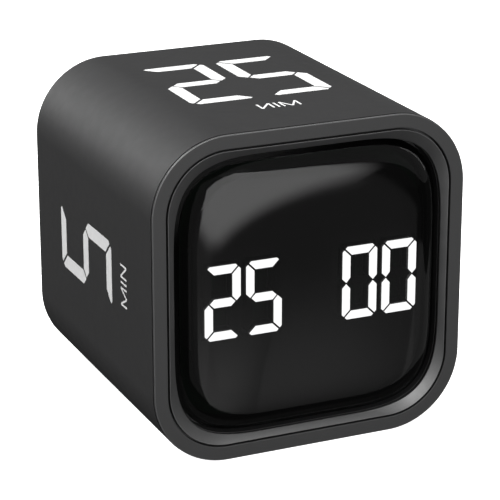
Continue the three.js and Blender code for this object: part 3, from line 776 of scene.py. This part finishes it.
def build_button(name, glyphs):
    """A round cap with a shallow dish and a printed sign.

    Its profile runs from the stem's foot, over the flange and the rounded edge, to the dish.
    """
    node = f"button_{name}"
    low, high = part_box(node)
    centre = middle_of(node)
    top, foot, flange = high.y, low.y, (high.x - low.x) / 2
    radius, stem, dish = CAP_RADIUS, 2 * MM, 0.16 * MM
    under = FLANGE_TOP - 1 * MM
    piece = lathe(f"cap_{name}", [
        (0, foot), (stem - 0.1 * MM, foot), (stem, foot + 0.1 * MM), (stem, under),
        (flange, under), (flange, FLANGE_TOP), (radius, FLANGE_TOP), (radius, top - 0.6 * MM),
        (radius - 0.04 * MM, top - 0.4 * MM), (radius - 0.15 * MM, top - 0.2 * MM),
        (radius - 0.32 * MM, top - 0.07 * MM), (radius - 0.55 * MM, top - 0.01 * MM),
        (radius - 0.75 * MM, top), (radius - 1 * MM, top - 0.03 * MM), (2 * MM, top - 0.12 * MM),
        (1 * MM, top - 0.15 * MM), (0, top - dish)], centre, 64)
    settle(piece, f"{name}_button", "button", "button", node)
    bm = bmesh.new()
    facing_back = Matrix(((-1, 0, 0), (0, 0, 1), (0, 1, 0))).to_4x4()
    place = Matrix.Translation((centre.x, top - dish, centre.z)) @ facing_back
    for glyph in glyphs:
        prism(bm, glyph, place, -0.1 * MM, 0.05 * MM)
    sign = mesh_piece(f"sign_{name}", bm, CRISP)
    settle(sign, f"{name}_button", "light_guide", "ink")


def build_buttons():
    """The caps for minutes, with an M, for seconds, with an S, and for start and pause."""
    height, stroke = 2.4 * MM, 0.36 * MM
    width_m, width_s = 3 * MM, 1.9 * MM
    letter = letter_m(-width_m / 2, width_m, height, stroke)
    build_button("minutes", [[(u, v - height / 2) for u, v in letter]])

    # The five bars of a segment 5, overlapping a little, make the S.
    bars = segment_outlines(width_s, height, stroke, 0.2 * MM, -0.02 * MM)
    build_button("seconds", [
        bar for segment, bar in zip(SEGMENTS, bars) if segment in LIT["5"]])

    half_height, bar_width = 1.05 * MM, 0.4 * MM
    triangle = [(-1.5 * MM, -1.1 * MM), (0.2 * MM, 0), (-1.5 * MM, 1.1 * MM)]
    pause = [
        [(u, -half_height), (u + bar_width, -half_height), (u + bar_width, half_height),
         (u, half_height)]
        for u in (0.5 * MM, 1.2 * MM)]
    build_button("start", [triangle] + pause)


def build_slider():
    """The knob's ribs, over the wide flange that keeps the slot closed."""
    low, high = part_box("slider_knob")
    centre = middle_of("slider_knob")
    top = high.y
    half_u, half_v = 1.7 * MM, 1.5 * MM
    sunk = FLANGE_TOP - 0.1 * MM
    count, steps, depth, fullness = 4, 8, 0.35 * MM, 0.6
    ribs = [(-half_u, sunk)]
    for k in range(count * steps + 1):
        wave = math.sin(math.pi * (k % steps) / steps) ** fullness if k % steps else 0
        ribs.append((-half_u + 2 * half_u * k / (count * steps), top - depth * (1 - wave)))
    ribs.append((half_u, sunk))
    bm = bmesh.new()
    place = Matrix.Translation((centre.x, 0, centre.z))
    prism(bm, ribs, place, -half_v, half_v)
    flange = rounded_rect((high.x - low.x) / 2, (high.z - low.z) / 2, 0.3 * MM, 4)
    loft(bm, [
        across(flange, centre.x, centre.z, y) for y in (FLANGE_TOP - 0.9 * MM, FLANGE_TOP)])
    piece = mesh_piece("slider_cap", bm, 30)
    settle(piece, "mode_slider", "button", "button", "slider_knob")


def build_port_shell():
    """The receptacle's drawn steel cup."""
    low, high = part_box("usb_c_shell")
    centre = middle_of("usb_c_shell")
    half_u, half_v = (high.x - low.x) / 2, (high.z - low.z) / 2
    metal, floor = 0.3 * MM, low.y + 1 * MM
    bm = bmesh.new()
    turns = []
    for inset, y in (
            (0, low.y), (0, high.y - 0.1 * MM), (0.03 * MM, high.y - 0.03 * MM), (0.1 * MM, high.y),
            (0.2 * MM, high.y), (0.27 * MM, high.y - 0.03 * MM), (metal, high.y - 0.1 * MM),
            (metal, floor)):
        radius = 1.5 * MM - inset
        outline = rounded_rect(half_u - inset, half_v - inset, radius, 10)
        turns.append(across(outline, centre.x, centre.z, y))
    loft(bm, turns)
    settle(mesh_piece("port_shell", bm), "casing", "steel", "steel", "usb_c_shell")


def build_port_tongue():
    """The receptacle's tongue, with a row of contacts on each side."""
    low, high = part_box("usb_c_tongue")
    centre = middle_of("usb_c_shell")
    half_u, half_v = (high.x - low.x) / 2, (high.z - low.z) / 2
    bm = bmesh.new()
    levels = ((0, low.y), (0, high.y - 0.2 * MM), (0.15 * MM, high.y))
    loft(bm, [
        across(rounded_rect(half_u - inset, half_v - inset, 0.12 * MM, 3), centre.x, centre.z, y)
        for inset, y in levels])
    tongue = mesh_piece("port_tongue", bm)
    settle(tongue, "casing", "black_plastic", "black_plastic", "usb_c_tongue")

    bm = bmesh.new()
    count, pitch, half_width, proud = 12, 0.5 * MM, 0.13 * MM, 0.02 * MM
    start, end = low.y + 1.5 * MM, high.y - 0.35 * MM
    place = Matrix.Translation((centre.x, 0, centre.z))
    for i in range(count):
        u = (i - (count - 1) / 2) * pitch
        strip = [
            (u - half_width, start), (u + half_width, start), (u + half_width, end),
            (u - half_width, end)]
        for side in (-1, 1):
            surface = side * half_v
            prism(bm, strip, place, surface - side * proud, surface + side * proud)
    settle(mesh_piece("port_contacts", bm), "casing", "brass", "brass")


# ---- Stage, camera and light ----

# The softboxes: their distance from the timer's middle, and their side.
LIGHT_DISTANCE = 0.8
LIGHT_SIDE = 0.35

# The cards: the plane of those straight in front of the display, and the distance of the others.
CARD_PLANE = -0.25
CARD_DISTANCE = 0.45


def towards(azimuth, elevation):
    """The direction from the timer to a point at an azimuth and elevation, in degrees.

    Azimuth 0 is straight in front of the display, and 90 is to its right.
    """
    azimuth, elevation = math.radians(azimuth), math.radians(elevation)
    return Vector((
        math.sin(azimuth) * math.cos(elevation), -math.cos(azimuth) * math.cos(elevation),
        math.sin(elevation)))


def build_camera():
    """The camera stands to the left of the display and looks down on it."""
    distance = 414.3 * MM
    target = Vector((1.1, -1.0, 27.8)) * MM
    back = towards(-24.09, 19.16)
    data = bpy.data.cameras.new("camera")
    data.sensor_width = 36
    data.lens = 158.9
    data.clip_start = 0.01
    camera = bpy.data.objects.new("camera", data)
    camera.location = target + back * distance
    camera.rotation_mode = "QUATERNION"
    camera.rotation_quaternion = (-back).to_track_quat("-Z", "Y")
    bpy.context.scene.collection.objects.link(camera)
    bpy.context.scene.camera = camera


def build_floor():
    """A white floor that only the camera sees: it throws no light back and catches no shadow."""
    bm = bmesh.new()
    bmesh.ops.create_circle(bm, cap_ends=True, radius=6, segments=96)
    floor = mesh_piece("floor", bm)
    paper = Nodes("paper", Roughness=0.8, Emission_Color=(1, 1, 1, 1), Emission_Strength=1.0)
    paper.colour(paper.blend(paper.noise(3, 2), (0.90, 0.90, 0.90), (0.91, 0.91, 0.91)))
    floor.data.materials.append(paper.material)
    for ray in ("diffuse", "glossy", "transmission", "shadow"):
        setattr(floor, f"visible_{ray}", False)


def softbox(name, place, facing, size, watts):
    """An area light at a place, facing along a direction, that the camera doesn't see."""
    data = bpy.data.lights.new(name, "AREA")
    data.shape = "RECTANGLE"
    data.size, data.size_y = size
    data.energy = watts
    lamp = bpy.data.objects.new(name, data)
    lamp.location = place
    lamp.rotation_mode = "QUATERNION"
    lamp.rotation_quaternion = facing.to_track_quat("-Z", "Y")
    lamp.visible_camera = False
    bpy.context.scene.collection.objects.link(lamp)
    return lamp


def build_world():
    """White to the camera, and otherwise only a faint glow in glossy surfaces."""
    world = bpy.data.worlds.new("studio")
    world.use_nodes = True
    bpy.context.scene.world = world
    tree = world.node_tree
    glow = tree.nodes["Background"]
    white = tree.nodes.new("ShaderNodeBackground")
    for background, strength in ((glow, 0.05), (white, 1.1)):
        background.inputs["Color"].default_value = (1, 1, 1, 1)
        background.inputs["Strength"].default_value = strength
    path = tree.nodes.new("ShaderNodeLightPath")
    mix = tree.nodes.new("ShaderNodeMixShader")
    tree.links.new(path.outputs["Is Camera Ray"], mix.inputs[0])
    tree.links.new(glow.outputs[0], mix.inputs[1])
    tree.links.new(white.outputs[0], mix.inputs[2])
    tree.links.new(mix.outputs[0], tree.nodes["World Output"].inputs["Surface"])
    world.cycles_visibility.diffuse = False


def link_lens(lamp, state):
    """Links a light to the lens: INCLUDE lights nothing else, EXCLUDE lights all but the lens."""
    group = bpy.data.collections.new(f"{lamp.name}_link")
    group.objects.link(bpy.data.objects["display_window"])
    group.collection_objects[0].light_linking.link_state = state
    lamp.light_linking.receiver_collection = group


def card(name, place, facing, size, radiance, turn=0):
    """A card of even brightness that only the lens mirrors, turned about its own axis."""
    watts = radiance * math.pi * size[0] * size[1]
    lamp = softbox(name, Vector(place), Vector(facing), size, watts)
    spin = Matrix.Rotation(math.radians(turn), 4, "Z").to_quaternion()
    lamp.rotation_quaternion = lamp.rotation_quaternion @ spin
    link_lens(lamp, "INCLUDE")
    return lamp


def fade(lamp, edges):
    """Gives a card soft edges, each an arc (u, v, dark, bright) about a point in its plane.

    The point is in metres from the card's corner. The card goes smoothly from black at the
    distance dark from the point to full at the distance bright.
    """
    lamp.data.use_nodes = True
    tree = lamp.data.node_tree
    place = tree.nodes.new("ShaderNodeNewGeometry").outputs["Parametric"]
    scale = tree.nodes.new("ShaderNodeVectorMath")
    scale.operation = "MULTIPLY"
    scale.inputs[1].default_value = (lamp.data.size, lamp.data.size_y, 0)
    tree.links.new(place, scale.inputs[0])
    strength = None
    for u, v, dark, bright in edges:
        away = tree.nodes.new("ShaderNodeVectorMath")
        away.operation = "DISTANCE"
        away.inputs[1].default_value = (u, v, 0)
        tree.links.new(scale.outputs[0], away.inputs[0])
        ramp = tree.nodes.new("ShaderNodeMapRange")
        ramp.interpolation_type = "SMOOTHSTEP"
        ramp.inputs["From Min"].default_value = dark
        ramp.inputs["From Max"].default_value = bright
        tree.links.new(away.outputs["Value"], ramp.inputs["Value"])
        if strength is None:
            strength = ramp.outputs["Result"]
        else:
            both = tree.nodes.new("ShaderNodeMath")
            both.operation = "MULTIPLY"
            tree.links.new(strength, both.inputs[0])
            tree.links.new(ramp.outputs["Result"], both.inputs[1])
            strength = both.outputs[0]
    tree.links.new(strength, tree.nodes["Emission"].inputs["Strength"])


def build_softboxes():
    """The lights round the timer, which light everything but the lens."""
    for name, azimuth, elevation, watts in (
            ("front_light", 0, 10, 4.9), ("left_light", -90, 50, 4.9),
            ("rear_left_light", -135, 50, 2.4), ("top_light", 0, 90, 2.2),
            ("upper_right_light", 52, 57, 2.1), ("right_light", 90, 50, 0.4),
            ("rear_light", -150, 18, 1.2), ("low_light", 30, -10, 0.6),
            ("low_rear_light", 180, 10, 0.2), ("right_side_light", 110, 4, 3.0),
            ("left_side_light", -105, -8, 0.6)):
        out = towards(azimuth, elevation)
        place = MIDDLE + out * LIGHT_DISTANCE
        link_lens(softbox(name, place, -out, (LIGHT_SIDE, LIGHT_SIDE), watts), "EXCLUDE")


def front_card(name, x, z, size, radiance, edges, turn=0, behind=0):
    """A card with soft edges in front of the display, facing straight at it."""
    fade(card(name, (x, CARD_PLANE - behind, z), (0, 1, 0), size, radiance, turn), edges)


def build_cards():
    """The cards that the lens mirrors, for the highlights in its face and on its shoulders.

    The base card stands a little behind the other front cards: where cards overlap in one plane,
    a sharp reflection shows only one of them.
    """
    front_card("bright_card", 0.0405, 0.0551, (0.112, 0.198), 2.7, turn=24, edges=(
        (0.069, -0.08, 0.084, 0.092), (0.262, 0.005, 0.15, 0.168), (0.022, -0.04, 0.032, 0.05),
        (-0.152, -0.054, 0.194, 0.204), (-0.035, 0.271, 0.096, 0.106)))
    front_card("base_card", 0.102, -0.06, (0.114, 0.13), 0.17, behind=0.006, edges=(
        (0.015, -0.005, 0.1335, 0.13),))
    front_card("low_left_card", 0.07, -0.085, (0.04, 0.08), 0.7, edges=(
        (0.02, 1.08, 1.0, 1.05), (0.02, -1, 1.007, 1.025), (1.04, 0.04, 0.985, 1.025)))
    front_card("low_right_card", 0.125, -0.085, (0.07, 0.08), 0.38, edges=(
        (0.035, 1.08, 1.0, 1.05), (0.035, -1, 1.007, 1.025), (1.07, 0.04, 0.985, 1.06)))
    for name, azimuth, elevation, size, radiance, turn in (
            ("sky_card", 55, 27, (0.8, 0.6), 0.2, 8), ("corner_card", 77, 21, (0.1, 0.3), 0.9, 12),
            ("side_card", 56, -24, (0.38, 0.09), 0.3, 0),
            ("shoulder_card", -6, 5, (0.4, 0.62), 0.15, 0)):
        out = towards(azimuth, elevation)
        card(name, MIDDLE + out * CARD_DISTANCE, -out, size, radiance, turn)


def carry_over():
    """Every CAD node that is still shown gets its slot's material."""
    for entry in frame["record"]["subparts"]:
        node = frame["nodes"][entry["node"]]
        if node.hide_render:
            continue
        node.data.materials.clear()
        node.data.materials.append(MATERIALS[entry["material_slot"]])


build_camera()
make_materials()
build_sleeve()
build_frame()
build_ring()
build_lens()
build_digits()
build_print("top", "25", (1, 0, 0), (0, 0, 1), mirrored=True, shift=(-0.07 * MM, -0.04 * MM))
build_print("left", "5", (0, 0, 1), (-1, 0, 0), shift=(0.18 * MM, 0))
build_print("right", "10", (0, 0, -1), (1, 0, 0))
build_print("bottom", "50", (-1, 0, 0), (0, 0, -1))
build_cover()
build_screws()
build_buttons()
build_slider()
build_port_shell()
build_port_tongue()
carry_over()
build_floor()
build_world()
build_softboxes()
build_cards()
bpy.context.scene.view_settings.view_transform = "Standard"
